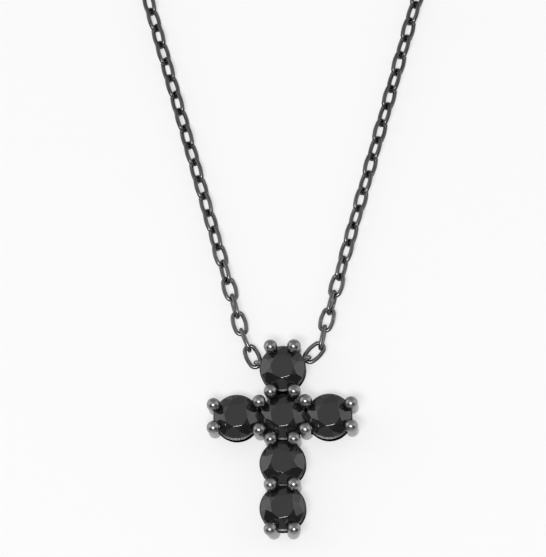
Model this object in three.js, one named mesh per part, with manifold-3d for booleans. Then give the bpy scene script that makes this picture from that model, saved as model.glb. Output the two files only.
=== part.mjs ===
// Cross pendant of six round stones on a fine cable chain, laid out flat.
// Millimetres, +Z up. The cross lies on its open back, stones up, with its head towards +Y.
// The chain leaves the cross in two straight legs and closes in a wide bend with a hook and a ring.
// The origin is under the middle of the laid necklace, on the surface that it lies on.

import * as THREE from 'three';
import { ConvexGeometry } from 'three/addons/geometries/ConvexGeometry.js';
import { mergeVertices } from 'three/addons/utils/BufferGeometryUtils.js';
import Module from 'manifold-3d';

const wasm = await Module();
wasm.setup();

// Stones, all one cut: a round brilliant
const stoneDiameter = 4.0;
const tableDiameter = 2.1;
const starDiameter = 3.0;      // ring where the star facets end
const crownHeight = 0.62;
const girdleHeight = 0.12;
const pavilionDepth = 1.7;
const lowerDiameter = 1.0;     // ring where the lower facets end, near the culet
const culetHeight = 0.49;      // culet above the surface

// Gaps between the girdles of two neighbours, from the head of the cross to its foot, and on its arm
const headGap = 0.45;
const waistGap = 0.23;
const footGap = 0.1;
const armGap = 0.17;

// Setting: tapered cups joined by webs, with claws shared between neighbours
const seatClearance = 0.04;    // all round a stone
const rimWall = 0.1;           // the cup's rim stands this far out past the girdle
const rimDrop = 0.2;           // rim below the girdle
const bellyWall = 0.07;        // cup's widest part below the rim, past the girdle's radius
const bellyHeight = 0.85;
const backInset = 0.25;        // the cup's back is smaller than the stone by this, all round
const holeDiameter = 2.3;      // open back of each cup
const webWidth = 2.2;
const webLength = 1.3;
const webHeight = 1.1;

// Claws: a round post with a bead over the stone's edge
const beadDiameter = 1.24;
const beadHeight = 2.8;        // middle of the bead above the surface
const postDiameter = 1.16;
const neckDiameter = 1.06;
const postFoot = 0.2;          // foot of the post above the surface
const footDiameter = 0.86;
const endReach = 0.02;         // claws at an arm's end, out past the stone's radius
const headReach = -0.1;        // the same at the head of the cross
const clawSpread = 1.05;       // half the space between two claws of a pair
const sideClawSpread = 1.29;   // the same beside the centre stone, on the cross arm

// Eyelets: two small wire rings on the sides of the top cup
const eyeletDiameter = 1.5;
const eyeletWire = 0.4;
const eyeletSink = 0.7;        // how far each ring is sunk in the cup's wall
const threadRoom = 0.1;        // round the link that threads an eyelet, where the wall makes way for it
const leftEyeletAngle = 18;    // degrees above the cross arm's direction
const rightEyeletAngle = 28;

// Chain: oval wire links
const linkLength = 2.46;
const linkWidth = 1.5;
const linkWire = 0.39;
const linkClearance = 0.02;    // between two wires that bear on each other
const leftLeans = [25, 22];    // degrees, the first links against the cross's length
const rightLeans = [45, 12];
const legAngle = 15.46;        // degrees, each straight leg against the cross's length
const chainLength = 194.3;     // each side, from the eyelet to the closure
const untwistLength = 14.2;    // over which the lie turns from flat and upright to aslant
const lieAngle = 45;           // degrees, how a link of the free chain leans
const separateLinks = 21;      // each side, made one by one; the rest is fused
const bendNodes = 3;           // fused lengths of chain in each half of the bend

// Closure: a ring on the left end, and a hook on a ring on the right end
const ringDiameter = 2.6;
const ringWire = 0.45;
const hookWire = 0.7;
const hookBend = 0.9;          // radius of the bend, on the wire's middle
const hookLength = 6.0;        // from the middle of the bend to the middle of the eye
const hookReturn = 2.6;        // how far the hook's tip runs back
const hookFlare = 0.08;        // and how far it spreads from the shank
const hookEye = 0.75;          // radius of the eye, on the wire's middle
const closureRise = 6.3;       // length of chain that rises to the closure
const closureLift = 0.03;      // closure clear of the surface

// Number of sides
const stoneSides = 8;
const cupSides = 16;
const postSides = 8;
const wireSides = 4;
const linkCorners = 8;
const ringSides = 6;
const ringCorners = 12;
const hookBendSteps = 4;
const hookSteps = 16;
const hookHalfSides = 3;

const radians = THREE.MathUtils.degToRad;
const stoneRadius = stoneDiameter / 2;
const armPitch = stoneDiameter + armGap;
const headPitch = stoneDiameter + headGap;
const waistPitch = stoneDiameter + waistGap;
const footPitch = stoneDiameter + footGap;
const girdleFoot = culetHeight + pavilionDepth;
const linkPitch = linkLength - 2 * linkWire - linkClearance;
const sideLinks = Math.round(chainLength / linkPitch);

const metal = { color: 0x6a6a6c, metalness: 1, roughness: 0.32, flatShading: true };
const blackStone = { color: 0x1b1b1d, metalness: 0, roughness: 0.12, flatShading: true };

// Each stone's turn in its cup, in degrees
const stoneTurns = { top: -5, left: -11, centre: -13, right: -11, lower: 3, bottom: -13 };

// Middles of the stones and their cups, from the centre stone's
const stonePlaces = {
  top: [0, headPitch],
  left: [-armPitch, 0],
  centre: [0, 0],
  right: [armPitch, 0],
  lower: [0, -waistPitch],
  bottom: [0, -waistPitch - footPitch],
};

// Solids and booleans

function closedSolid(geometry) {
  const bare = new THREE.BufferGeometry();
  bare.setAttribute('position', geometry.getAttribute('position'));
  bare.setIndex(geometry.getIndex());
  const merged = mergeVertices(bare, 1e-5);
  const index = merged.getIndex().array;
  const faces = [];
  for (let i = 0; i < index.length; i += 3) {
    const [a, b, c] = [index[i], index[i + 1], index[i + 2]];
    if (a !== b && b !== c && c !== a) {
      faces.push(a, b, c);
    }
  }
  return new wasm.Manifold(new wasm.Mesh({
    numProp: 3,
    vertProperties: new Float32Array(merged.getAttribute('position').array),
    triVerts: new Uint32Array(faces),
  }));
}

function geometryOf(solid) {
  const { vertProperties, triVerts } = solid.getMesh();
  const geometry = new THREE.BufferGeometry();
  geometry.setAttribute('position', new THREE.BufferAttribute(vertProperties, 3));
  geometry.setIndex(new THREE.BufferAttribute(triVerts, 1));
  return geometry;
}

function joined(geometries) {
  const [first, ...others] = geometries.map(closedSolid);
  return others.reduce((sum, solid) => sum.add(solid), first);
}

function namedMesh(name, geometry, look) {
  const mesh = new THREE.Mesh(geometry, new THREE.MeshStandardMaterial(look));
  mesh.name = name;
  return mesh;
}

// A turned shape about +Z from [radius, height] pairs that run up its outside
function turned(profile, sides) {
  const points = profile.map(([radius, height]) => new THREE.Vector2(radius, height));
  return new THREE.LatheGeometry(points, sides).rotateX(Math.PI / 2);
}

// Stones

function ringPoints(diameter, height, count, turn) {
  const points = [];
  for (let i = 0; i < count; i += 1) {
    const angle = (2 * Math.PI * (i + turn)) / count;
    const radius = diameter / 2;
    points.push(new THREE.Vector3(radius * Math.cos(angle), radius * Math.sin(angle), height));
  }
  return points;
}

// The facets are the convex hull of the rings where they meet. Star points lie in the planes of
// the kites beside them, and the lower ring in the planes of the main pavilion facets.
function brilliant(grow) {
  const halfTurn = 0.5;
  const lean = Math.cos(Math.PI / stoneSides);
  const table = tableDiameter / 2;
  const girdleTop = girdleFoot + girdleHeight;
  const tableHeight = girdleTop + crownHeight;
  const starFall = (((starDiameter / 2) * lean - table) / (stoneRadius - table)) * crownHeight;
  const lowerRise = (((lowerDiameter / 2) * lean) / stoneRadius) * pavilionDepth;
  const girdle = stoneDiameter + 2 * grow;
  return new ConvexGeometry([
    ...ringPoints(tableDiameter, tableHeight + grow, stoneSides, 0),
    ...ringPoints(starDiameter + grow, tableHeight - starFall + grow, stoneSides, halfTurn),
    ...ringPoints(girdle, girdleTop + grow, 2 * stoneSides, 0),
    ...ringPoints(girdle, girdleFoot - grow, 2 * stoneSides, 0),
    ...ringPoints(lowerDiameter, culetHeight + lowerRise - grow, stoneSides, halfTurn),
    new THREE.Vector3(0, 0, culetHeight - grow),
  ]);
}

// A shape made about the origin, turned and moved to its place in the cross
function inPlace(geometry, name) {
  const [x, y] = stonePlaces[name];
  return geometry.rotateZ(radians(stoneTurns[name])).translate(x, y, 0);
}

function stone(name) {
  const cut = mergeVertices(brilliant(0).deleteAttribute('normal'), 1e-5);
  return namedMesh(`stone_${name}`, inPlace(cut, name), blackStone);
}

// Setting

function cup() {
  const slope = stoneRadius / pavilionDepth;
  const rimHeight = girdleFoot - rimDrop;
  const hole = holeDiameter / 2;
  const seatFoot = culetHeight + hole / slope - seatClearance;
  const seatTop = (rimHeight + seatClearance - culetHeight) * slope;
  const outline = [
    [hole, 0],
    [stoneRadius - backInset, 0],
    [stoneRadius + bellyWall, bellyHeight],
    [stoneRadius + rimWall, rimHeight],
    [seatTop, rimHeight],
    [hole, seatFoot],
    [hole, 0],
  ];
  return turned(outline, cupSides);
}

function web(x, y, along) {
  const [width, length] = along === 'y' ? [webWidth, webLength] : [webLength, webWidth];
  return new THREE.BoxGeometry(width, length, webHeight).translate(x, y, webHeight / 2);
}

function claw(x, y) {
  const bead = beadDiameter / 2;
  const shoulder = bead * Math.SQRT1_2;
  const outline = [
    [0, postFoot],
    [footDiameter / 2, postFoot],
    [postDiameter / 2, postFoot + footDiameter / 2],
    [neckDiameter / 2, beadHeight - shoulder],
    [bead, beadHeight],
    [shoulder, beadHeight + shoulder],
    [0, beadHeight + bead],
  ];
  return turned(outline, postSides).rotateZ(Math.PI / postSides).translate(x, y, 0);
}

// Middles of the webs that join the cups, which also carry the shared claws
const uprightJoins = [headPitch / 2, -waistPitch / 2, -waistPitch - footPitch / 2];
const armJoins = [-armPitch / 2, armPitch / 2];

function clawPlaces() {
  const reach = stoneRadius + endReach;
  const head = headPitch + stoneRadius + headReach;
  const foot = -waistPitch - footPitch - reach;
  const arm = armPitch + reach;
  const places = [];
  for (const side of [-1, 1]) {
    for (const y of [head, ...uprightJoins, foot]) {
      places.push([side * clawSpread, y]);
    }
    for (const x of [-arm, arm]) {
      places.push([x, side * clawSpread]);
    }
    for (const x of armJoins) {
      places.push([x, side * sideClawSpread]);
    }
  }
  return places;
}

// Each eyelet stands upright in the plane through the top stone's axis at its own angle
function eyeletDirection(side) {
  const angle = radians(side < 0 ? leftEyeletAngle : rightEyeletAngle);
  return new THREE.Vector3(side * Math.cos(angle), Math.sin(angle), 0);
}

function eyeletCentre(side) {
  const reach = stoneRadius + bellyWall - eyeletSink + eyeletDiameter / 2;
  const topStone = new THREE.Vector3(0, headPitch, eyeletDiameter / 2);
  return topStone.addScaledVector(eyeletDirection(side), reach);
}

function eyelet(side) {
  const direction = eyeletDirection(side);
  const centre = eyeletCentre(side);
  const middle = (eyeletDiameter - eyeletWire) / 2;
  return new THREE.TorusGeometry(middle, eyeletWire / 2, ringSides, ringCorners)
    .rotateX(Math.PI / 2)
    .rotateZ(Math.atan2(direction.y, direction.x))
    .translate(centre.x, centre.y, centre.z);
}

// Room in the cup's wall for the end of the link that threads an eyelet
function threadSpace(side) {
  const [along] = firstDirections(side);
  const end = firstJoints(side)[0].addScaledVector(along, linkWidth / 2 - linkWire - linkClearance / 2);
  const radius = linkWidth / 2 + threadRoom;
  const space = new THREE.CylinderGeometry(radius, radius, linkWire + 2 * threadRoom, cupSides);
  return closedSolid(space.rotateX(Math.PI / 2).translate(end.x, end.y, end.z));
}

function setting() {
  const names = Object.keys(stonePlaces);
  const cups = joined(names.map((name) => inPlace(cup(), name)));
  const roomy = cups.subtract(threadSpace(-1)).subtract(threadSpace(1));
  const metalwork = roomy.add(joined([
    ...uprightJoins.map((y) => web(0, y, 'y')),
    ...armJoins.map((x) => web(x, 0, 'x')),
    ...clawPlaces().map(([x, y]) => claw(x, y)),
    eyelet(-1),
    eyelet(1),
  ]));
  const seats = names.map((name) => closedSolid(inPlace(brilliant(seatClearance), name)));
  const cast = seats.reduce((solid, seat) => solid.subtract(seat), metalwork);
  return namedMesh('setting', geometryOf(cast), metal);
}

// Strand: every link and closure piece in its order from the left eyelet round to the right one.
// A piece's span is the distance between the two points where it bears on its neighbours.

function strandPieces() {
  const link = { kind: 'link', span: linkPitch };
  const ring = { kind: 'ring', span: ringDiameter - 2 * ringWire - linkClearance };
  const hookSpan = hookLength + hookBend + hookEye - hookWire - linkClearance;
  return [
    ...Array.from({ length: sideLinks }, () => ({ ...link })),
    { ...ring },
    { kind: 'hook', span: hookSpan },
    { ...ring },
    ...Array.from({ length: sideLinks }, () => ({ ...link })),
  ];
}

// Directions of a side's first links, which the free chain follows
function firstDirections(side) {
  const leans = (side < 0 ? leftLeans : rightLeans).map(radians);
  return leans.map((lean) => new THREE.Vector3(side * Math.sin(lean), Math.cos(lean), 0));
}

// Where a side's first link bears on its eyelet, and where each first link bears on the next one
function firstJoints(side) {
  const directions = firstDirections(side);
  const wireMiddle = (eyeletDiameter - eyeletWire) / 2;
  const bar = eyeletCentre(side).addScaledVector(eyeletDirection(side), wireMiddle);
  const joints = [bar.addScaledVector(directions[0], -(eyeletWire + linkClearance) / 2)];
  for (const along of directions) {
    joints.push(joints.at(-1).clone().addScaledVector(along, linkPitch));
  }
  return joints;
}

// The open loop from the left leg's last first joint to the right leg's: leg, round bend, leg
function loopPath(length) {
  const lean = radians(legAngle);
  const start = firstJoints(-1).at(-1);
  const finish = firstJoints(1).at(-1);
  const both = (finish.x - start.x) / Math.sin(lean);
  const difference = (start.y - finish.y) / Math.cos(lean);
  const leftRest = (both + difference) / 2;
  const rightRest = (both - difference) / 2;
  const turn = Math.PI + 2 * lean;
  const depth = (length + leftRest + rightRest) / (2 * Math.cos(lean) + turn * Math.sin(lean));
  const radius = depth * Math.sin(lean);
  const leg = depth * Math.cos(lean) - leftRest;
  const centreX = start.x + leftRest * Math.sin(lean);
  const centreY = start.y - leftRest * Math.cos(lean) + depth;
  const at = (distance) => {
    if (distance <= leg) {
      return [start.x - distance * Math.sin(lean), start.y + distance * Math.cos(lean)];
    }
    if (distance >= leg + turn * radius) {
      const left = length - distance;
      return [finish.x + left * Math.sin(lean), finish.y + left * Math.cos(lean)];
    }
    const angle = Math.PI + lean - (distance - leg) / radius;
    return [centreX + radius * Math.cos(angle), centreY + radius * Math.sin(angle)];
  };
  return { at, leg };
}

// The lie of a piece: its turn about the strand's own line. Neighbours are a quarter turn apart.
// At the eyelets the pieces lie flat and stand upright by turns, and further on all lie aslant.
function lieOf(index, count) {
  const fromEyelet = linkPitch * Math.min(index, count - 1 - index);
  return radians(lieAngle * THREE.MathUtils.smoothstep(fromEyelet, 0, untwistLength));
}

// Height of the strand's line above the surface, so that the steepest piece just clears it
function lineHeight(index, count) {
  const lie = lieOf(index, count);
  const steepest = Math.max(Math.abs(Math.cos(lie)), Math.abs(Math.sin(lie)));
  const link = linkWire / 2 + ((linkWidth - linkWire) / 2) * steepest + linkClearance;
  const ring = ringWire / 2 + ((ringDiameter - ringWire) / 2) * steepest;
  const hook = hookWire / 2 + (hookReach() - hookWire / 2) * steepest;
  const fromClosure = linkPitch * (sideLinks - Math.min(index, count - index));
  const nearClosure = 1 - THREE.MathUtils.smoothstep(fromClosure, 0, closureRise);
  return link + (Math.max(ring, hook) + closureLift - link) * nearClosure;
}

// Joints between pieces, then each piece with its middle, direction and lie
function laidStrand() {
  const pieces = strandPieces();
  const count = pieces.length;
  const free = pieces.slice(leftLeans.length, -rightLeans.length);
  const length = free.reduce((sum, piece) => sum + piece.span, 0);
  const path = loopPath(length);
  const joints = firstJoints(-1);
  let distance = 0;
  for (const piece of free.slice(0, -1)) {
    distance += piece.span;
    joints.push(new THREE.Vector3(...path.at(distance), 0));
  }
  joints.push(...firstJoints(1).reverse());
  joints.slice(1, -1).forEach((joint, index) => joint.setZ(lineHeight(index, count)));
  pieces.forEach((piece, index) => {
    const from = joints[index];
    const to = joints[index + 1];
    const along = to.clone().sub(from).normalize();
    const level = new THREE.Vector3(-along.y, along.x, 0).normalize();
    const steep = along.clone().cross(level);
    const lie = lieOf(index, count) + (index % 2 === 0 ? 0 : Math.PI / 2);
    const across = level.multiplyScalar(Math.cos(lie)).addScaledVector(steep, Math.sin(lie));
    piece.along = along;
    piece.across = across;
    piece.normal = along.clone().cross(across);
    piece.middle = from.clone().add(to).multiplyScalar(0.5);
    piece.from = from;
    piece.to = to;
  });
  return { pieces, legLinks: leftLeans.length + Math.floor(path.leg / linkPitch) };
}

function laidMesh(name, geometry, piece) {
  const mesh = namedMesh(name, geometry, metal);
  const basis = new THREE.Matrix4().makeBasis(piece.along, piece.across, piece.normal);
  mesh.setRotationFromMatrix(basis);
  mesh.position.copy(piece.middle);
  return mesh;
}

// A wire ring of few corners whose straight sides touch the true round line from outside
function wireRing(diameter, wire, corners, sides) {
  const middle = (diameter - wire) / 2 / Math.cos(Math.PI / corners);
  const ring = new THREE.TorusGeometry(middle, wire / 2, sides, corners).rotateZ(Math.PI / corners);
  return mergeVertices(ring.deleteAttribute('normal').deleteAttribute('uv'), 1e-5);
}

// A link is such a ring cut across its middle, with its two halves drawn apart
function linkGeometry() {
  const ring = wireRing(linkWidth, linkWire, linkCorners, wireSides);
  const place = ring.getAttribute('position');
  const draw = (linkLength - linkWidth) / 2;
  for (let i = 0; i < place.count; i += 1) {
    place.setX(i, place.getX(i) + Math.sign(place.getX(i)) * draw);
  }
  return ring;
}

// Hook in its own plane: eye at +X, shank beside the middle line, bend at -X and tip running back
function hookGeometry() {
  const reach = (hookBend + hookEye) / 2;
  const eyeX = hookLength / 2 + reach - hookEye;
  const bendX = eyeX - hookLength;
  const points = [new THREE.Vector3(eyeX - hookEye, 0, 0)];
  points.push(new THREE.Vector3(eyeX - hookEye - hookBend, -hookBend, 0));
  for (let i = 0; i <= hookBendSteps; i += 1) {
    const angle = -Math.PI / 2 - (Math.PI * i) / hookBendSteps;
    const x = bendX + hookBend * Math.cos(angle);
    points.push(new THREE.Vector3(x, hookBend * Math.sin(angle), 0));
  }
  points.push(new THREE.Vector3(bendX + hookReturn, hookBend + hookFlare, 0));
  const section = new THREE.Shape();
  section.absarc(0, 0, hookWire / 2, 0, 2 * Math.PI);
  const shank = new THREE.ExtrudeGeometry(section, {
    steps: hookSteps,
    curveSegments: hookHalfSides,
    extrudePath: new THREE.CatmullRomCurve3(points, false, 'centripetal'),
  });
  const eye = wireRing(2 * hookEye + hookWire, hookWire, ringCorners, ringSides).translate(eyeX, 0, 0);
  return geometryOf(joined([shank, eye]));
}

// How far the hook reaches to the wider side of the strand's line
function hookReach() {
  const hook = hookGeometry();
  hook.computeBoundingBox();
  return Math.max(-hook.boundingBox.min.y, hook.boundingBox.max.y);
}

// Fused chain: one bar whose section is wide across each link and thin through it, by turns
function fusedChain(name, pieces, from, to) {
  const clear = linkWire + 2 * linkClearance;
  const narrow = (linkWidth + linkWire) / 4;
  const first = pieces[from];
  const last = pieces[to - 1];
  const rings = [];
  const addRing = (place, piece, wide, thin) => {
    const flat = pieces.indexOf(piece) % 2 === 0;
    const a = flat ? piece.across : piece.normal.clone().negate();
    const b = flat ? piece.normal : piece.across;
    const [reachA, reachB] = flat ? [wide, thin] : [thin, wide];
    rings.push([
      place.clone().addScaledVector(a, reachA),
      place.clone().addScaledVector(b, reachB),
      place.clone().addScaledVector(a, -reachA),
      place.clone().addScaledVector(b, -reachB),
    ]);
  };
  addRing(first.from.clone().addScaledVector(first.along, clear), first, narrow, narrow);
  for (const piece of pieces.slice(from, to)) {
    addRing(piece.middle, piece, linkWidth / 2, linkWire / 2);
  }
  const finish = to === sideLinks ? ringWire + 2 * linkClearance : clear;
  addRing(last.to.clone().addScaledVector(last.along, -finish), last, narrow, narrow);
  return namedMesh(name, loft(rings), metal);
}

// Closed skin over a row of four-cornered rings
function loft(rings) {
  const corners = 4;
  const positions = rings.flat().flatMap((point) => point.toArray());
  const faces = [];
  for (let ring = 0; ring + 1 < rings.length; ring += 1) {
    for (let i = 0; i < corners; i += 1) {
      const a = ring * corners + i;
      const b = ring * corners + ((i + 1) % corners);
      faces.push(a, b, b + corners, a, b + corners, a + corners);
    }
  }
  const end = (rings.length - 1) * corners;
  faces.push(0, 2, 1, 0, 3, 2, end, end + 1, end + 2, end, end + 2, end + 3);
  const geometry = new THREE.BufferGeometry();
  geometry.setAttribute('position', new THREE.Float32BufferAttribute(positions, 3));
  geometry.setIndex(faces);
  return geometry;
}

function chainMeshes() {
  const { pieces, legLinks } = laidStrand();
  const count = pieces.length;
  const meshes = [];
  for (let i = 0; i < separateLinks; i += 1) {
    const number = String(i + 1).padStart(2, '0');
    meshes.push(laidMesh(`left_link_${number}`, linkGeometry(), pieces[i]));
    meshes.push(laidMesh(`right_link_${number}`, linkGeometry(), pieces[count - 1 - i]));
  }
  const bendLinks = (sideLinks - legLinks) / bendNodes;
  meshes.push(fusedChain('left_chain_leg', pieces, separateLinks, legLinks));
  meshes.push(fusedChain('right_chain_leg', pieces, count - legLinks, count - separateLinks));
  for (let i = 0; i < bendNodes; i += 1) {
    const from = Math.round(legLinks + i * bendLinks);
    const to = Math.round(legLinks + (i + 1) * bendLinks);
    meshes.push(fusedChain(`left_chain_bend_${i + 1}`, pieces, from, to));
    meshes.push(fusedChain(`right_chain_bend_${i + 1}`, pieces, count - to, count - from));
  }
  const ring = () => wireRing(ringDiameter, ringWire, ringCorners, ringSides);
  meshes.push(laidMesh('end_ring', ring(), pieces[sideLinks]));
  meshes.push(laidMesh('hook', hookGeometry(), pieces[sideLinks + 1]));
  meshes.push(laidMesh('hook_ring', ring(), pieces[sideLinks + 2]));
  return meshes;
}

const necklace = new THREE.Group();
necklace.add(setting());
necklace.add(...Object.keys(stonePlaces).map(stone));
necklace.add(...chainMeshes());

// The laid necklace's box, centred over the origin with its underside on z = 0
const box = new THREE.Box3().setFromObject(necklace, true);
const middle = box.getCenter(new THREE.Vector3());
necklace.position.set(-middle.x, -middle.y, -box.min.z);

const laid = new THREE.Group();
laid.add(necklace);

export default laid;
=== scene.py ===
import math

import bmesh
import bpy
from mathutils import Matrix, Vector
from mathutils.geometry import interpolate_bezier

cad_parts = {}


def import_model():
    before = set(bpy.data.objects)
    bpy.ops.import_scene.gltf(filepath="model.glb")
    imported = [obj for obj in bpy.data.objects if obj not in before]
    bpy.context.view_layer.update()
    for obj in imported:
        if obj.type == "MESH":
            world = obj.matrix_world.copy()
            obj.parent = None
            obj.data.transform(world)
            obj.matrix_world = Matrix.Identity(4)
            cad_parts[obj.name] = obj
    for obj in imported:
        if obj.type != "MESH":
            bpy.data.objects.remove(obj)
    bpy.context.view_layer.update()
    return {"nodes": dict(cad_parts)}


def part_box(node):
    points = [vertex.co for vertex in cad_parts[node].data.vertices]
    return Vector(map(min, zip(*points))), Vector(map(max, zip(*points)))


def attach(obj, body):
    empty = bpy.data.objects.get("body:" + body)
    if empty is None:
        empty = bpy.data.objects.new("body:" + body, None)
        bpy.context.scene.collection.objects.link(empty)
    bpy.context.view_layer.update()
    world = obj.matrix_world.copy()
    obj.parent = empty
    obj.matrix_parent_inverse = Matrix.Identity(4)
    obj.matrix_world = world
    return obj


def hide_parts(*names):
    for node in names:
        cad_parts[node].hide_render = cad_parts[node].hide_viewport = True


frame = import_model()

# Sizes are in millimetres, as the part is drawn, and MM turns them into metres
MM = 0.001

# Stones
STONES = ("top", "left", "centre", "right", "lower", "bottom")
STONE_RADIUS = 2.0
GIRDLE_FOOT = 2.19
CULET_HEIGHT = 0.49
FACET_EDGE = 0.05          # width of the polished edge between two facets
FLAT_ANGLE = 0.8           # degrees, below which two faces are one facet
CREASE_ANGLE = 3           # degrees, above which an edge is polished round
WELD_REACH = 0.0001        # distance below which two points are one

# Cups, from the back to the rim. The curves are steps inwards from the widest place, the belly's with
# heights from the back and the rim's with drops from its top.
BACK_INSET = 0.25          # from the girdle's radius
BACK_FLARE = 0.01
CUP_EDGE = 0.05
HOLE_RADIUS = 1.15
BELLY_WALL = 0.07
BELLY_CURVE = ((0.09, 0.4675), (0.02, 0.7225), (0, 0.85), (0.03, 1.0), (0.09, 1.3))
RIM_CURVE = ((0.12, 0.3), (0.03, 0.15))
RIM_WALL = 0.1
RIM_DROP = 0.2             # below the girdle
RIM_HEIGHT = GIRDLE_FOOT - RIM_DROP
RIM_ROUND = 0.025          # rounding of the rim's edges
RIM_FALL = 0.04            # fall of the rim's top towards its outer edge
RIM_FLAT = 0.0375          # where the rim's straight fall starts and ends, in from its two sides
RIM_INNER_FALL = 0.006
RIM_OUTER_RISE = 0.002
SEAT_CLEARANCE = 0.04

# Webs between the cups
WEB_WIDTH = 2.2
WEB_LENGTH = 1.3
WEB_HEIGHT = 1.1
WEB_ROUND = 0.1

# Claws
POST_FOOT = 0.2            # from the back of the cross
FOOT_FLAT_RADIUS = 0.258
FOOT_ROUND = 0.43
POST_RADIUS = 0.58
NECK_RADIUS = 0.53
NECK_DROP = 0.465          # from the bead's middle down to the neck
BEAD_START = 36            # degrees below the bead's middle where it leaves the neck
BEAD_RADIUS = 0.62
BEAD_HEIGHT = 2.8
CLAW_SPREAD = 1.05
SIDE_CLAW_SPREAD = 1.29    # of the claws between the centre stone and the arms
END_REACH = 0.02           # of the end claws past the girdle
HEAD_REACH = -0.1          # of the head's claws past the girdle
LOWEST_FOOT_DRAW = 0.2     # how far the two lowest claws' feet draw in towards each other

# Share of the metal's tone that a surface keeps, from 0, black, to 1, full. The low share of the cups'
# walls and the webs is painted shade, and the higher share of the links nearest the cross is a painted
# highlight.
RIM_TONE_SHARE = 0.3
PAINTED_WALL_SHADE_SHARE = 0.06       # cups' walls and the webs, painted shade
CHAIN_TONE_SHARE = 0.65      # chain away from the cross

# Eyelets
EYELET_RADIUS = 0.75
EYELET_WIRE = 0.4
EYELET_SINK = 0.7          # into the top cup's wall
EYELET_ANGLES = {-1: 18, 1: 28}     # by side: -1 is the left, 1 the right
THREAD_ROOM = 0.1

# Chain
LINK_LENGTH = 2.46
LINK_WIDTH = 1.5
LINK_WIRE = 0.39
LINK_CLEARANCE = 0.02
LINK_BULGE = 0.06          # the sides' bow, inside the link's width
FIRST_LEANS = {-1: (25, 22), 1: (45, 12)}     # of the first links of each side, off the vertical
LEG_ANGLE = 15.46
CHAIN_LENGTH = 194.3
SEPARATE_LINKS = 21
HIGHLIGHT_LINKS = 16            # links over which the chain is painted paler towards the cross, a painted highlight
UNTWIST_LENGTH = 14.2      # from an eyelet, over which the links turn to LIE_ANGLE
LIE_ANGLE = 45
CLOSURE_RISE = 6.3         # length of chain that rises towards the closure
CLOSURE_LIFT = 0.03
BEND_NODES = 3

# Closure
RING_RADIUS = 1.3
RING_WIRE = 0.45
HOOK_WIRE = 0.7
HOOK_BEND = 0.9
HOOK_LENGTH = 6.0
HOOK_RETURN = 2.6
HOOK_FLARE = 0.08
HOOK_EYE = 0.75
HOOK_REACH = 1.375         # of the hook's wider side, from the strand's line

LINK_PITCH = LINK_LENGTH - 2 * LINK_WIRE - LINK_CLEARANCE
SIDE_LINKS = round(CHAIN_LENGTH / LINK_PITCH)

# Fineness
LATHE_SIDES = 64
POST_SIDES = 32
WIRE_SIDES = 12
HOOK_SIDES = 24
RING_STEPS = 40
BEND_STEPS = 10
CURVE_STEPS = 5
END_STEPS = 5
FOOT_STEPS = 4
BEAD_STEPS = 10
ROUND_STEPS = 3

# Plated metal. Distances are in metres, and noise scales are per metre.
SETTING_TONES = {"dark": 0.22, "light": 0.3, "lighter": 0.45}
CHAIN_TONES = {"dark": 0.14, "light": 0.19, "lighter": 0.28}
COOLNESS = 1.02            # blue over red and green
METAL_CLOUDS = 900.0
METAL_CLOUD_DETAIL = 4.0
METAL_CLOUD_SPAN = (0.3, 0.7)
METAL_ROUGHNESS = (0.2, 0.36)
METAL_GRAIN = 5200.0
METAL_GRAIN_DETAIL = 3.0
GRAIN_STRENGTH = 0.12
GRAIN_DEPTH = 0.00002
WORN_POINTINESS = (0.52, 0.62)
RECESS_REACH = 0.0006      # round a point, that shades it
RECESS_SPAN = (0.2, 0.8)   # openness over which the painted shade of a recess fades out
PAINTED_RECESS_SHADE = 0.3          # what the painted shade leaves of the tone in a recess
SHINY_TONE_SHARE = 0.5       # a tone share above this shines at a glancing angle as metal does

# Black stone
STONE_IOR = 1.72
STONE_CLOUDS = 700.0
STONE_CLOUD_DETAIL = 6.0
STONE_DARK = (0.004, 0.004, 0.005, 1)
STONE_LIGHT = (0.012, 0.012, 0.013, 1)
STONE_ROUGHNESS = (0.05, 0.13)

# The pale table glows a little, so that it stays nearly shadowless, as in the photograph
FLOOR_TONE = 0.4
FLOOR_GLOW = 0.525
FLOOR_ROUGHNESS = 0.9
FLOOR_SPECULAR = 0.1
FLOOR_GAP = 0.01           # below the back of the cross
FLOOR_HALF = 600.0

# Soft boards round the table: direction, brightness, and half angles of the full and the faded part
ROOM_BRIGHTNESS = 0.55
BOARDS = (
    ((-0.89, 0.22, 0.40), 1.3, 20, 32),
    ((0.89, 0.22, 0.40), 1.15, 20, 32),
    ((0, -0.80, 0.60), 0.35, 18, 26),
    ((-0.70, -0.47, 0.54), 0.08, 20, 30),
    ((0.70, -0.47, 0.54), 0.08, 20, 30),
    ((-0.29, -0.47, 0.84), 0.1, 12, 17),
    ((0.29, -0.47, 0.84), 0.1, 12, 17),
    ((0, 0.98, 0.19), 0.4, 20, 35),
)

# Key light, near the camera's line and further out: metres and watts
KEY_DIRECTION = (-0.08, -0.34, 1)
KEY_DISTANCE = 0.8
KEY_WIDTH = 0.36
KEY_HEIGHT = 0.17
KEY_POWER = 4.2

# Camera: the photograph's frame, and the middle of the centre stone in it
IMAGE_WIDTH = 546
IMAGE_HEIGHT = 557
CENTRE_STONE_PIXEL = (282.6, 416.5)
PIXEL_SIZE = 0.0899        # at the cross
CAMERA_ELEVATION = 77
CAMERA_SIDE = 3.5          # degrees to the right of straight over the cross
CAMERA_DISTANCE = 420.0
SENSOR_WIDTH = 36.0
CLIP_START = 0.01          # metres


def stone_middle(name):
    low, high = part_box(f"stone_{name}")
    return (Vector(low) + Vector(high)) / 2 / MM


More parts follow.
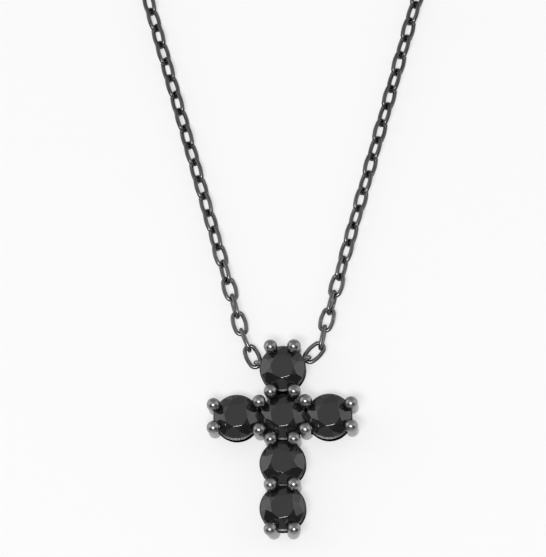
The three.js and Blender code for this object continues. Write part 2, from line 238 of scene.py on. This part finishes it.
CENTRE = stone_middle("centre")
HEAD_PITCH = stone_middle("top").y - CENTRE.y
WAIST_PITCH = CENTRE.y - stone_middle("lower").y
FOOT_PITCH = stone_middle("lower").y - stone_middle("bottom").y
ARM_PITCH = stone_middle("right").x - CENTRE.x
UPRIGHT_JOINS = (HEAD_PITCH / 2, -WAIST_PITCH / 2, -WAIST_PITCH - FOOT_PITCH / 2)
ARM_JOINS = (-ARM_PITCH / 2, ARM_PITCH / 2)


# Meshes

def finish_piece(piece):
    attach(piece, "root")


def add_mesh(name, vertices, faces, material, tone_share_and_painted_light=None):
    """A smooth mesh. Its tone share is a list, one number for each vertex, and carries painted shade and
    painted highlight.
    """
    mesh = bpy.data.meshes.new(name)
    mesh.from_pydata([Vector(v) * MM for v in vertices], [], faces)
    attribute = mesh.attributes.new("tone_share_and_painted_light", "FLOAT", "POINT")
    attribute.data.foreach_set("value", tone_share_and_painted_light or [1.0] * len(vertices))
    mesh.validate()
    mesh.polygons.foreach_set("use_smooth", [True] * len(mesh.polygons))
    mesh.materials.append(material)
    piece = bpy.data.objects.new(name, mesh)
    bpy.context.scene.collection.objects.link(piece)
    return piece


def lathe(profile, sides, closed=False):
    """Turns (radius, height) pairs about Z. A profile that isn't closed starts and ends on the axis."""
    vertices = []
    rings = []
    for radius, height in profile:
        if radius == 0:
            rings.append([len(vertices)] * sides)
            vertices.append(Vector((0, 0, height)))
            continue
        rings.append(list(range(len(vertices), len(vertices) + sides)))
        for i in range(sides):
            angle = 2 * math.pi * i / sides
            vertices.append(Vector((radius * math.cos(angle), radius * math.sin(angle), height)))
    pairs = list(zip(rings, rings[1:]))
    if closed:
        pairs.append((rings[-1], rings[0]))
    faces = []
    for low, high in pairs:
        for i in range(sides):
            j = (i + 1) % sides
            corners = [low[i], low[j], high[j], high[i]]
            faces.append(tuple(dict.fromkeys(corners)))
    return vertices, faces


def wire_loop(path, wire, sides):
    """A closed wire along a flat closed path of 2-D points, about the plane z = 0."""
    count = len(path)
    vertices = []
    faces = []
    for i, point in enumerate(path):
        before = Vector(path[i - 1])
        after = Vector(path[(i + 1) % count])
        along = (after - before).normalized()
        out = Vector((along.y, -along.x))
        for k in range(sides):
            angle = 2 * math.pi * k / sides
            reach = out * (math.cos(angle) * wire / 2)
            vertices.append(Vector((point[0] + reach.x, point[1] + reach.y, math.sin(angle) * wire / 2)))
    for i in range(count):
        for k in range(sides):
            a = i * sides + k
            b = i * sides + (k + 1) % sides
            c = ((i + 1) % count) * sides + (k + 1) % sides
            d = ((i + 1) % count) * sides + k
            faces.append((a, b, c, d))
    return vertices, faces


def smooth_path(points):
    """A flat curve through 2-D points, smooth at each of them."""
    count = len(points)
    directions = []
    for i in range(count):
        before = points[max(i - 1, 0)]
        after = points[min(i + 1, count - 1)]
        directions.append((after - before).normalized())
    path = [points[0]]
    for i in range(count - 1):
        reach = (points[i + 1] - points[i]).length / 3
        handles = points[i] + directions[i] * reach, points[i + 1] - directions[i + 1] * reach
        path.extend(interpolate_bezier(points[i], *handles, points[i + 1], CURVE_STEPS)[1:])
    return path


def open_wire(path, wire, sides):
    """A wire with rounded ends along a flat open path of 2-D points, about the plane z = 0."""
    first = (path[1] - path[0]).normalized()
    last = (path[-1] - path[-2]).normalized()
    rings = []
    for i in range(END_STEPS):
        angle = math.pi / 2 * i / END_STEPS
        rings.append((path[0] - first * (math.cos(angle) * wire / 2), first, math.sin(angle) * wire / 2))
    for i, point in enumerate(path):
        along = path[min(i + 1, len(path) - 1)] - path[max(i - 1, 0)]
        rings.append((point, along.normalized(), wire / 2))
    for i in range(1, END_STEPS + 1):
        angle = math.pi / 2 * i / END_STEPS
        rings.append((path[-1] + last * (math.sin(angle) * wire / 2), last, math.cos(angle) * wire / 2))
    vertices = []
    for point, along, radius in rings:
        for k in range(sides):
            angle = 2 * math.pi * k / sides
            reach = Vector((along.y, -along.x)) * (math.cos(angle) * radius)
            vertices.append(Vector((point[0] + reach.x, point[1] + reach.y, math.sin(angle) * radius)))
    faces = []
    for i in range(len(rings) - 1):
        for k in range(sides):
            a = i * sides + k
            b = i * sides + (k + 1) % sides
            faces.append((a, b, b + sides, a + sides))
    return vertices, faces


def circle(diameter, wire, steps):
    """The middle line of a round ring."""
    radius = (diameter - wire) / 2
    angles = [2 * math.pi * i / steps for i in range(steps)]
    return [(radius * math.cos(angle), radius * math.sin(angle)) for angle in angles]


def oval(length, width, wire, bulge, steps):
    """The middle line of an oval link: two half rounds joined by sides that bow outwards."""
    radius = (width - wire) / 2 - bulge
    shift = (length - width) / 2 + bulge
    points = []
    for side in (1, -1):
        for i in range(steps + 1):
            angle = math.pi * (i / steps - 0.5)
            points.append((side * (shift + radius * math.cos(angle)), side * radius * math.sin(angle)))
        for i in range(1, steps):
            bow = bulge * math.sin(math.pi * i / steps)
            points.append((side * shift * (1 - 2 * i / steps), side * (radius + bow)))
    return points


def moved(shape, matrix):
    vertices, faces = shape
    return [matrix @ v for v in vertices], faces


def together(shapes):
    vertices = []
    faces = []
    for more_vertices, more_faces in shapes:
        start = len(vertices)
        vertices.extend(more_vertices)
        faces.extend(tuple(start + i for i in face) for face in more_faces)
    return vertices, faces


# Strand: the same lie as the part's own, from its sizes

def eyelet_direction(side):
    angle = math.radians(EYELET_ANGLES[side])
    return Vector((side * math.cos(angle), math.sin(angle), 0))


def eyelet_centre(side):
    reach = STONE_RADIUS + BELLY_WALL - EYELET_SINK + EYELET_RADIUS
    centre = Vector((CENTRE.x, CENTRE.y + HEAD_PITCH, 0)) + eyelet_direction(side) * reach
    centre.z = EYELET_RADIUS
    return centre


def first_directions(side):
    leans = [math.radians(lean) for lean in FIRST_LEANS[side]]
    return [Vector((side * math.sin(lean), math.cos(lean), 0)) for lean in leans]


def first_joints(side):
    directions = first_directions(side)
    bar = eyelet_centre(side) + eyelet_direction(side) * (EYELET_RADIUS - EYELET_WIRE / 2)
    joints = [bar - directions[0] * ((EYELET_WIRE + LINK_CLEARANCE) / 2)]
    for along in directions:
        joints.append(joints[-1] + along * LINK_PITCH)
    return joints


def loop_path(length):
    """The open loop as a function of the distance along it: left leg, round bend, right leg."""
    lean = math.radians(LEG_ANGLE)
    start = first_joints(-1)[-1]
    finish = first_joints(1)[-1]
    both = (finish.x - start.x) / math.sin(lean)
    difference = (start.y - finish.y) / math.cos(lean)
    left_rest = (both + difference) / 2
    right_rest = (both - difference) / 2
    turn = math.pi + 2 * lean
    depth = (length + left_rest + right_rest) / (2 * math.cos(lean) + turn * math.sin(lean))
    radius = depth * math.sin(lean)
    leg = depth * math.cos(lean) - left_rest
    centre_x = start.x + left_rest * math.sin(lean)
    centre_y = start.y - left_rest * math.cos(lean) + depth

    def at(distance):
        if distance <= leg:
            return start.x - distance * math.sin(lean), start.y + distance * math.cos(lean)
        if distance >= leg + turn * radius:
            left = length - distance
            return finish.x + left * math.sin(lean), finish.y + left * math.cos(lean)
        angle = math.pi + lean - (distance - leg) / radius
        return centre_x + radius * math.cos(angle), centre_y + radius * math.sin(angle)

    return at


def smoothstep(value, low, high):
    share = min(max((value - low) / (high - low), 0), 1)
    return share * share * (3 - 2 * share)


def lie_of(index, count):
    """The angle that a piece of the strand is turned about its own line."""
    from_eyelet = LINK_PITCH * min(index, count - 1 - index)
    return math.radians(LIE_ANGLE * smoothstep(from_eyelet, 0, UNTWIST_LENGTH))


def line_height(index, count):
    """The height of the strand's line, at which its widest piece there just clears the table."""
    lie = lie_of(index, count)
    steepest = max(abs(math.cos(lie)), abs(math.sin(lie)))
    link = LINK_WIRE / 2 + (LINK_WIDTH - LINK_WIRE) / 2 * steepest + LINK_CLEARANCE
    ring = RING_WIRE / 2 + (RING_RADIUS - RING_WIRE / 2) * steepest
    hook = HOOK_WIRE / 2 + (HOOK_REACH - HOOK_WIRE / 2) * steepest
    from_closure = LINK_PITCH * (SIDE_LINKS - min(index, count - index))
    near = 1 - smoothstep(from_closure, 0, CLOSURE_RISE)
    return link + (max(ring, hook) + CLOSURE_LIFT - link) * near


def laid_strand():
    """Every piece's middle and directions as a matrix, from the left eyelet round to the right one."""
    ring_span = 2 * RING_RADIUS - 2 * RING_WIRE - LINK_CLEARANCE
    hook_span = HOOK_LENGTH + HOOK_BEND + HOOK_EYE - HOOK_WIRE - LINK_CLEARANCE
    side_spans = [LINK_PITCH] * SIDE_LINKS
    spans = side_spans + [ring_span, hook_span, ring_span] + side_spans
    count = len(spans)
    free = spans[len(FIRST_LEANS[-1]):-len(FIRST_LEANS[1])]
    at = loop_path(sum(free))
    joints = first_joints(-1)
    distance = 0.0
    for span in free[:-1]:
        distance += span
        joints.append(Vector((*at(distance), 0)))
    joints.extend(reversed(first_joints(1)))
    for index, joint in enumerate(joints[1:-1]):
        joint.z = line_height(index, count)
    places = []
    for index in range(count):
        along = (joints[index + 1] - joints[index]).normalized()
        level = Vector((-along.y, along.x, 0)).normalized()
        steep = along.cross(level)
        lie = lie_of(index, count) + (0 if index % 2 == 0 else math.pi / 2)
        across = level * math.cos(lie) + steep * math.sin(lie)
        middle = (joints[index] + joints[index + 1]) / 2
        turn = Matrix((along, across, along.cross(across))).transposed().to_4x4()
        places.append(Matrix.Translation(middle) @ turn)
    return places


# Materials

def grey(tone):
    """A faintly cool grey."""
    return (tone, tone, tone * COOLNESS, 1)


def new_material(name):
    material = bpy.data.materials.new(name)
    material.use_nodes = True
    nodes = material.node_tree.nodes
    return material, nodes, material.node_tree.links, nodes["Principled BSDF"]


def noise(nodes, links, place, scale, detail):
    texture = nodes.new("ShaderNodeTexNoise")
    texture.inputs["Scale"].default_value = scale
    texture.inputs["Detail"].default_value = detail
    links.new(place, texture.inputs["Vector"])
    return texture.outputs["Fac"]


def remap(nodes, links, value, taken, given):
    """The value, with the span that is taken stretched to the span that is given."""
    node = nodes.new("ShaderNodeMapRange")
    node.inputs["From Min"].default_value = taken[0]
    node.inputs["From Max"].default_value = taken[1]
    node.inputs["To Min"].default_value = given[0]
    node.inputs["To Max"].default_value = given[1]
    links.new(value, node.inputs["Value"])
    return node.outputs["Result"]


def tone_with_painted_light(nodes, links, tone, tone_share_and_painted_light):
    """The tone, with painted shade in recesses, scaled by the mesh's own tone share, which holds painted
    shade and painted highlight.
    """
    # Painted shade in recesses: the tone darkens where little is open round a point.
    recess = nodes.new("ShaderNodeAmbientOcclusion")
    recess.inputs["Distance"].default_value = RECESS_REACH
    openness = remap(nodes, links, recess.outputs["AO"], RECESS_SPAN, (PAINTED_RECESS_SHADE, 1))
    share = nodes.new("ShaderNodeMath")
    share.operation = "MULTIPLY"
    links.new(openness, share.inputs[0])
    links.new(tone_share_and_painted_light, share.inputs[1])
    scaled = nodes.new("ShaderNodeVectorMath")
    scaled.operation = "SCALE"
    links.new(tone, scaled.inputs[0])
    links.new(share.outputs["Value"], scaled.inputs["Scale"])
    return scaled.outputs["Vector"]


def plated_metal(name, tones):
    """Dark plated metal: fine cloudy wear, paler on its edges, with a faint cast grain. Recesses get
    painted shade, and the mesh's tone share adds painted shade and painted highlight.
    """
    material, nodes, links, shader = new_material(name)
    shader.inputs["Metallic"].default_value = 1.0
    place = nodes.new("ShaderNodeTexCoord").outputs["Object"]
    clouds = noise(nodes, links, place, METAL_CLOUDS, METAL_CLOUD_DETAIL)
    tone = nodes.new("ShaderNodeValToRGB")
    for element, position, shade in zip(tone.color_ramp.elements, METAL_CLOUD_SPAN, ("dark", "light")):
        element.position = position
        element.color = grey(tones[shade])
    links.new(clouds, tone.inputs["Fac"])
    pointiness = nodes.new("ShaderNodeNewGeometry").outputs["Pointiness"]
    edge = nodes.new("ShaderNodeMixRGB")
    edge.inputs["Color2"].default_value = grey(tones["lighter"])
    links.new(remap(nodes, links, pointiness, WORN_POINTINESS, (0, 1)), edge.inputs["Fac"])
    links.new(tone.outputs["Color"], edge.inputs["Color1"])
    attribute = nodes.new("ShaderNodeAttribute")
    attribute.attribute_name = "tone_share_and_painted_light"
    tone_share_and_painted_light = attribute.outputs["Fac"]
    colour = tone_with_painted_light(nodes, links, edge.outputs["Color"], tone_share_and_painted_light)
    links.new(colour, shader.inputs["Base Color"])
    glance = remap(nodes, links, tone_share_and_painted_light, (0, SHINY_TONE_SHARE), (0, 1))
    links.new(glance, shader.inputs["Specular Tint"])
    links.new(remap(nodes, links, clouds, (0, 1), METAL_ROUGHNESS), shader.inputs["Roughness"])
    bump = nodes.new("ShaderNodeBump")
    bump.inputs["Strength"].default_value = GRAIN_STRENGTH
    bump.inputs["Distance"].default_value = GRAIN_DEPTH
    links.new(noise(nodes, links, place, METAL_GRAIN, METAL_GRAIN_DETAIL), bump.inputs["Height"])
    links.new(bump.outputs["Normal"], shader.inputs["Normal"])
    return material


def black_stone():
    """Opaque black stone, polished flat, with the faintest cloud under its surface."""
    material, nodes, links, shader = new_material("black_stone")
    shader.inputs["IOR"].default_value = STONE_IOR
    place = nodes.new("ShaderNodeTexCoord").outputs["Object"]
    clouds = noise(nodes, links, place, STONE_CLOUDS, STONE_CLOUD_DETAIL)
    tone = nodes.new("ShaderNodeValToRGB")
    tone.color_ramp.elements[0].color = STONE_DARK
    tone.color_ramp.elements[1].color = STONE_LIGHT
    links.new(clouds, tone.inputs["Fac"])
    links.new(tone.outputs["Color"], shader.inputs["Base Color"])
    links.new(remap(nodes, links, clouds, (0, 1), STONE_ROUGHNESS), shader.inputs["Roughness"])
    return material


def pale_floor():
    material, nodes, links, shader = new_material("pale_floor")
    shader.inputs["Base Color"].default_value = (FLOOR_TONE, FLOOR_TONE, FLOOR_TONE, 1)
    shader.inputs["Emission Color"].default_value = (1, 1, 1, 1)
    shader.inputs["Emission Strength"].default_value = FLOOR_GLOW
    shader.inputs["Roughness"].default_value = FLOOR_ROUGHNESS
    shader.inputs["Specular IOR Level"].default_value = FLOOR_SPECULAR
    return material


# Setting

def cup(middle):
    """A collet: an open back, a belly, a rim just below the girdle and a seat for the stone."""
    slope = STONE_RADIUS / (GIRDLE_FOOT - CULET_HEIGHT)
    seat_foot = CULET_HEIGHT + HOLE_RADIUS / slope - SEAT_CLEARANCE
    seat = (RIM_HEIGHT - RIM_ROUND / 2 + SEAT_CLEARANCE - CULET_HEIGHT) * slope
    back = STONE_RADIUS - BACK_INSET
    belly = STONE_RADIUS + BELLY_WALL
    rim = STONE_RADIUS + RIM_WALL
    lip = RIM_HEIGHT - RIM_FALL
    profile = [(HOLE_RADIUS + CUP_EDGE, 0), (back - CUP_EDGE, 0), (back + BACK_FLARE, CUP_EDGE)]
    profile += [(belly - inset, height) for inset, height in BELLY_CURVE]
    profile += [(rim - inset, RIM_HEIGHT - drop) for inset, drop in RIM_CURVE]
    profile += [
        (rim, lip - 2 * RIM_ROUND),
        (rim, lip - RIM_ROUND),
        (rim - RIM_ROUND, lip),
        (rim - RIM_FLAT, lip + RIM_OUTER_RISE),
        (seat + RIM_FLAT, RIM_HEIGHT - RIM_INNER_FALL),
        (seat + RIM_ROUND / 2, RIM_HEIGHT),
        (seat, RIM_HEIGHT - RIM_ROUND / 2),
        (HOLE_RADIUS, seat_foot),
        (HOLE_RADIUS, CUP_EDGE),
    ]
    shape = lathe(profile, LATHE_SIDES, closed=True)
    return moved(shape, Matrix.Translation(middle))


def claw(x, y, draw):
    """A claw with its bead at x, y. Its foot is drawn aside along X."""
    profile = [(0, POST_FOOT)]
    for i in range(1, FOOT_STEPS + 1):
        angle = math.pi / 2 * i / FOOT_STEPS
        reach = FOOT_FLAT_RADIUS + (POST_RADIUS - FOOT_FLAT_RADIUS) * math.sin(angle)
        profile.append((reach, POST_FOOT + FOOT_ROUND * (1 - math.cos(angle))))
    profile.append(((POST_RADIUS + NECK_RADIUS) / 2, (POST_FOOT + BEAD_HEIGHT) / 2))
    profile.append((NECK_RADIUS, BEAD_HEIGHT - NECK_DROP))
    start = math.radians(BEAD_START)
    for i in range(BEAD_STEPS + 1):
        angle = (math.pi / 2 + start) * i / BEAD_STEPS - start
        radius = BEAD_RADIUS * math.cos(angle) if i < BEAD_STEPS else 0
        profile.append((radius, BEAD_HEIGHT + BEAD_RADIUS * math.sin(angle)))
    lean = Matrix.Identity(4)
    lean[0][2] = -draw / BEAD_HEIGHT
    return moved(lathe(profile, POST_SIDES), Matrix.Translation((x + draw, y, 0)) @ lean)


def rounded(shape, edges, offset):
    bmesh.ops.bevel(shape, geom=edges, offset=offset, segments=ROUND_STEPS, profile=0.5, affect="EDGES")


def web(middle, width, length):
    """A block that joins two cups."""
    shape = bmesh.new()
    bmesh.ops.create_cube(shape, size=1, matrix=Matrix.Diagonal((width, length, WEB_HEIGHT, 1)))
    rounded(shape, shape.edges[:], WEB_ROUND)
    bmesh.ops.translate(shape, verts=shape.verts, vec=Vector(middle) + Vector((0, 0, WEB_HEIGHT / 2)))
    vertices = [v.co.copy() for v in shape.verts]
    faces = [tuple(v.index for v in f.verts) for f in shape.faces]
    shape.free()
    return vertices, faces


def claw_places():
    """Each claw's x and y from the centre stone's middle, and how far its foot is drawn aside."""
    reach = STONE_RADIUS + END_REACH
    head = HEAD_PITCH + STONE_RADIUS + HEAD_REACH
    foot = -WAIST_PITCH - FOOT_PITCH - reach
    arm = ARM_PITCH + reach
    places = []
    for side in (-1, 1):
        for y in (head, *UPRIGHT_JOINS):
            places.append((side * CLAW_SPREAD, y, 0))
        places.append((side * CLAW_SPREAD, foot, -side * LOWEST_FOOT_DRAW))
        for x in (-arm, arm):
            places.append((x, side * CLAW_SPREAD, 0))
        for x in ARM_JOINS:
            places.append((x, side * SIDE_CLAW_SPREAD, 0))
    return places


def eyelet(side):
    direction = eyelet_direction(side)
    ring = circle(2 * EYELET_RADIUS, EYELET_WIRE, RING_STEPS)
    shape = wire_loop(ring, EYELET_WIRE, WIRE_SIDES)
    turn = Matrix.Rotation(math.atan2(direction.y, direction.x), 4, "Z")
    upright = Matrix.Rotation(math.pi / 2, 4, "X")
    return moved(shape, Matrix.Translation(eyelet_centre(side)) @ turn @ upright)


def thread_space(side):
    """Room in the top cup's wall for the end of the link that threads an eyelet."""
    reach = LINK_WIDTH / 2 - LINK_WIRE - LINK_CLEARANCE / 2
    end = first_joints(side)[0] + first_directions(side)[0] * reach
    half = LINK_WIRE / 2 + THREAD_ROOM
    radius = LINK_WIDTH / 2 + THREAD_ROOM
    profile = [(0, -half), (radius, -half), (radius, half), (0, half)]
    return moved(lathe(profile, LATHE_SIDES), Matrix.Translation(end))


def carved(shape, cutters):
    """The shape with each cutter's solid taken away from it."""
    body = plain_object(shape)
    tools = [plain_object(cutter) for cutter in cutters]
    for tool in tools:
        cut = body.modifiers.new("cut", "BOOLEAN")
        cut.operation = "DIFFERENCE"
        cut.solver = "EXACT"
        cut.object = tool
    result = body.evaluated_get(bpy.context.evaluated_depsgraph_get()).to_mesh()
    vertices = [v.co.copy() for v in result.vertices]
    faces = [tuple(face.vertices) for face in result.polygons]
    for spare in [body, *tools]:
        bpy.data.objects.remove(spare)
    return vertices, faces


def plain_object(shape):
    mesh = bpy.data.meshes.new("plain")
    mesh.from_pydata(shape[0], [], shape[1])
    plain = bpy.data.objects.new("plain", mesh)
    bpy.context.scene.collection.objects.link(plain)
    return plain


def setting(material):
    base = Vector((CENTRE.x, CENTRE.y, 0))
    cups = []
    for name in STONES:
        middle = stone_middle(name)
        shape = cup(Vector((middle.x, middle.y, 0)))
        cups.append(carved(shape, [thread_space(-1), thread_space(1)]) if name == "top" else shape)
    webs = [web(base + Vector((0, y, 0)), WEB_WIDTH, WEB_LENGTH) for y in UPRIGHT_JOINS]
    webs += [web(base + Vector((x, 0, 0)), WEB_LENGTH, WEB_WIDTH) for x in ARM_JOINS]
    claws = [claw(base.x + x, base.y + y, draw) for x, y, draw in claw_places()]
    body = together(cups + webs)
    lighter = together(claws + [eyelet(-1), eyelet(1)])
    rim_foot = RIM_HEIGHT - RIM_FALL - RIM_ROUND / 2
    # Below the rim's foot the cups' walls and the webs keep little of the tone: painted shade.
    tone_share_and_painted_light = [RIM_TONE_SHARE if v.z > rim_foot else PAINTED_WALL_SHADE_SHARE for v in body[0]]
    tone_share_and_painted_light += [1.0] * len(lighter[0])
    piece = add_mesh("claw_setting", *together([body, lighter]), material, tone_share_and_painted_light)
    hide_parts("setting")
    finish_piece(piece)


# Stones: the cut of the solids, with polished edges between the facets

def dressed_stone(name, material):
    node = frame["nodes"][f"stone_{name}"]
    shape = bmesh.new()
    shape.from_mesh(node.data)
    bmesh.ops.remove_doubles(shape, verts=shape.verts, dist=WELD_REACH * MM)
    flat = math.radians(FLAT_ANGLE)
    bmesh.ops.dissolve_limit(shape, angle_limit=flat, verts=shape.verts, edges=shape.edges)
    edges = [e for e in shape.edges if e.calc_face_angle(0) > math.radians(CREASE_ANGLE)]
    rounded(shape, edges, FACET_EDGE * MM / 2)
    mesh = bpy.data.meshes.new(f"faceted_stone_{name}")
    shape.to_mesh(mesh)
    shape.free()
    mesh.polygons.foreach_set("use_smooth", [False] * len(mesh.polygons))
    mesh.materials.append(material)
    piece = bpy.data.objects.new(f"faceted_stone_{name}", mesh)
    bpy.context.scene.collection.objects.link(piece)
    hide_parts(f"stone_{name}")
    finish_piece(piece)


# Chain and closure

def chain(places, material):
    outline = oval(LINK_LENGTH, LINK_WIDTH, LINK_WIRE, LINK_BULGE, BEND_STEPS)
    link = wire_loop(outline, LINK_WIRE, WIRE_SIDES)
    count = len(places)
    for side, order in (("left", places[:SIDE_LINKS]), ("right", places[count - SIDE_LINKS:][::-1])):
        for number, place in enumerate(order[:SEPARATE_LINKS], 1):
            shape = moved(link, place)
            # The links nearest the cross are painted paler: a painted highlight.
            lighter = CHAIN_TONE_SHARE + (1 - CHAIN_TONE_SHARE) * (1 - smoothstep(number, 1, HIGHLIGHT_LINKS))
            tone_share_and_painted_light = [lighter] * len(shape[0])
            piece = add_mesh(f"round_{side}_link_{number:02d}", *shape, material, tone_share_and_painted_light)
            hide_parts(f"{side}_link_{number:02d}")
            finish_piece(piece)
        rest = together([moved(link, place) for place in order[SEPARATE_LINKS:]])
        piece = add_mesh(f"round_{side}_chain", *rest, material, [CHAIN_TONE_SHARE] * len(rest[0]))
        bends = [f"{side}_chain_bend_{i + 1}" for i in range(BEND_NODES)]
        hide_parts(f"{side}_chain_leg", *bends)
        finish_piece(piece)


def hook():
    """Eye at +X, shank beside the middle line, bend at -X and tip running back."""
    eye_x = HOOK_LENGTH / 2 + (HOOK_BEND + HOOK_EYE) / 2 - HOOK_EYE
    bend_x = eye_x - HOOK_LENGTH
    points = [Vector((eye_x - HOOK_EYE, 0)), Vector((eye_x - HOOK_EYE - HOOK_BEND, -HOOK_BEND))]
    for i in range(BEND_STEPS + 1):
        angle = -math.pi / 2 - math.pi * i / BEND_STEPS
        points.append(Vector((bend_x + HOOK_BEND * math.cos(angle), HOOK_BEND * math.sin(angle))))
    points.append(Vector((bend_x + HOOK_RETURN, HOOK_BEND + HOOK_FLARE)))
    shank = open_wire(smooth_path(points), HOOK_WIRE, HOOK_SIDES)
    ring = circle(2 * HOOK_EYE + HOOK_WIRE, HOOK_WIRE, RING_STEPS)
    eye = wire_loop([(x + eye_x, y) for x, y in ring], HOOK_WIRE, HOOK_SIDES)
    return together([shank, eye])


def closure(places, material):
    ring = wire_loop(circle(2 * RING_RADIUS, RING_WIRE, RING_STEPS), RING_WIRE, WIRE_SIDES)
    shapes = {"end_ring": ring, "hook": hook(), "hook_ring": ring}
    for (name, shape), place in zip(shapes.items(), places[SIDE_LINKS:]):
        piece = add_mesh(f"round_{name}", *moved(shape, place), material, [CHAIN_TONE_SHARE] * len(shape[0]))
        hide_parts(name)
        finish_piece(piece)


# Stage, light and camera

def floor():
    signs = ((-1, -1), (1, -1), (1, 1), (-1, 1))
    corners = [(x * FLOOR_HALF, y * FLOOR_HALF, -FLOOR_GAP) for x, y in signs]
    piece = add_mesh("floor", corners, [(0, 1, 2, 3)], pale_floor())


def key_light():
    data = bpy.data.lights.new("key", "AREA")
    data.shape = "ELLIPSE"
    data.size = KEY_WIDTH
    data.size_y = KEY_HEIGHT
    data.energy = KEY_POWER
    lamp = bpy.data.objects.new("key", data)
    direction = Vector(KEY_DIRECTION)
    lamp.location = CENTRE * MM + direction.normalized() * KEY_DISTANCE
    lamp.rotation_euler = direction.to_track_quat("Z", "Y").to_euler()
    bpy.context.scene.collection.objects.link(lamp)


def world():
    room = bpy.data.worlds.new("studio")
    room.use_nodes = True
    nodes = room.node_tree.nodes
    links = room.node_tree.links
    direction = nodes.new("ShaderNodeTexCoord").outputs["Generated"]
    light = nodes.new("ShaderNodeValue").outputs[0]
    light.default_value = ROOM_BRIGHTNESS
    for board, brightness, full, faded in BOARDS:
        nearness = nodes.new("ShaderNodeVectorMath")
        nearness.operation = "DOT_PRODUCT"
        nearness.inputs[1].default_value = Vector(board).normalized()
        links.new(direction, nearness.inputs[0])
        share = nodes.new("ShaderNodeMapRange")
        share.interpolation_type = "SMOOTHSTEP"
        share.inputs["From Min"].default_value = math.cos(math.radians(faded))
        share.inputs["From Max"].default_value = math.cos(math.radians(full))
        links.new(nearness.outputs["Value"], share.inputs["Value"])
        mix = nodes.new("ShaderNodeMix")
        mix.inputs["B"].default_value = brightness
        links.new(share.outputs["Result"], mix.inputs["Factor"])
        links.new(light, mix.inputs["A"])
        light = mix.outputs["Result"]
    links.new(light, nodes["Background"].inputs["Strength"])
    nodes["Background"].inputs["Color"].default_value = (1, 1, 1, 1)
    bpy.context.scene.world = room


def camera():
    data = bpy.data.cameras.new("camera")
    data.sensor_fit = "HORIZONTAL"
    data.sensor_width = SENSOR_WIDTH
    data.lens = SENSOR_WIDTH * CAMERA_DISTANCE / (IMAGE_WIDTH * PIXEL_SIZE)
    data.clip_start = CLIP_START
    tilt = math.radians(CAMERA_ELEVATION)
    aside = Matrix.Rotation(math.radians(CAMERA_SIDE), 3, "Y")
    right = aside @ Vector((1, 0, 0))
    up = aside @ Vector((0, math.sin(tilt), math.cos(tilt)))
    back = aside @ Vector((0, -math.cos(tilt), math.sin(tilt)))
    across = (IMAGE_WIDTH / 2 - CENTRE_STONE_PIXEL[0]) * PIXEL_SIZE
    above = (CENTRE_STONE_PIXEL[1] - IMAGE_HEIGHT / 2) * PIXEL_SIZE
    girdle = Vector((CENTRE.x, CENTRE.y, GIRDLE_FOOT))
    aim = girdle + right * across + up * above
    eye = bpy.data.objects.new("camera", data)
    eye.location = (aim + back * CAMERA_DISTANCE) * MM
    eye.rotation_euler = Matrix((right, up, back)).transposed().to_euler()
    bpy.context.scene.collection.objects.link(eye)
    bpy.context.scene.camera = eye


def studio():
    floor()
    world()
    key_light()
    camera()
    bpy.context.scene.view_settings.view_transform = "Standard"


setting_metal = plated_metal("blackened_metal", SETTING_TONES)
chain_metal = plated_metal("blackened_chain", CHAIN_TONES)
stone_material = black_stone()
strand = laid_strand()
setting(setting_metal)
for stone_name in STONES:
    dressed_stone(stone_name, stone_material)
chain(strand, chain_metal)
closure(strand, chain_metal)
studio()
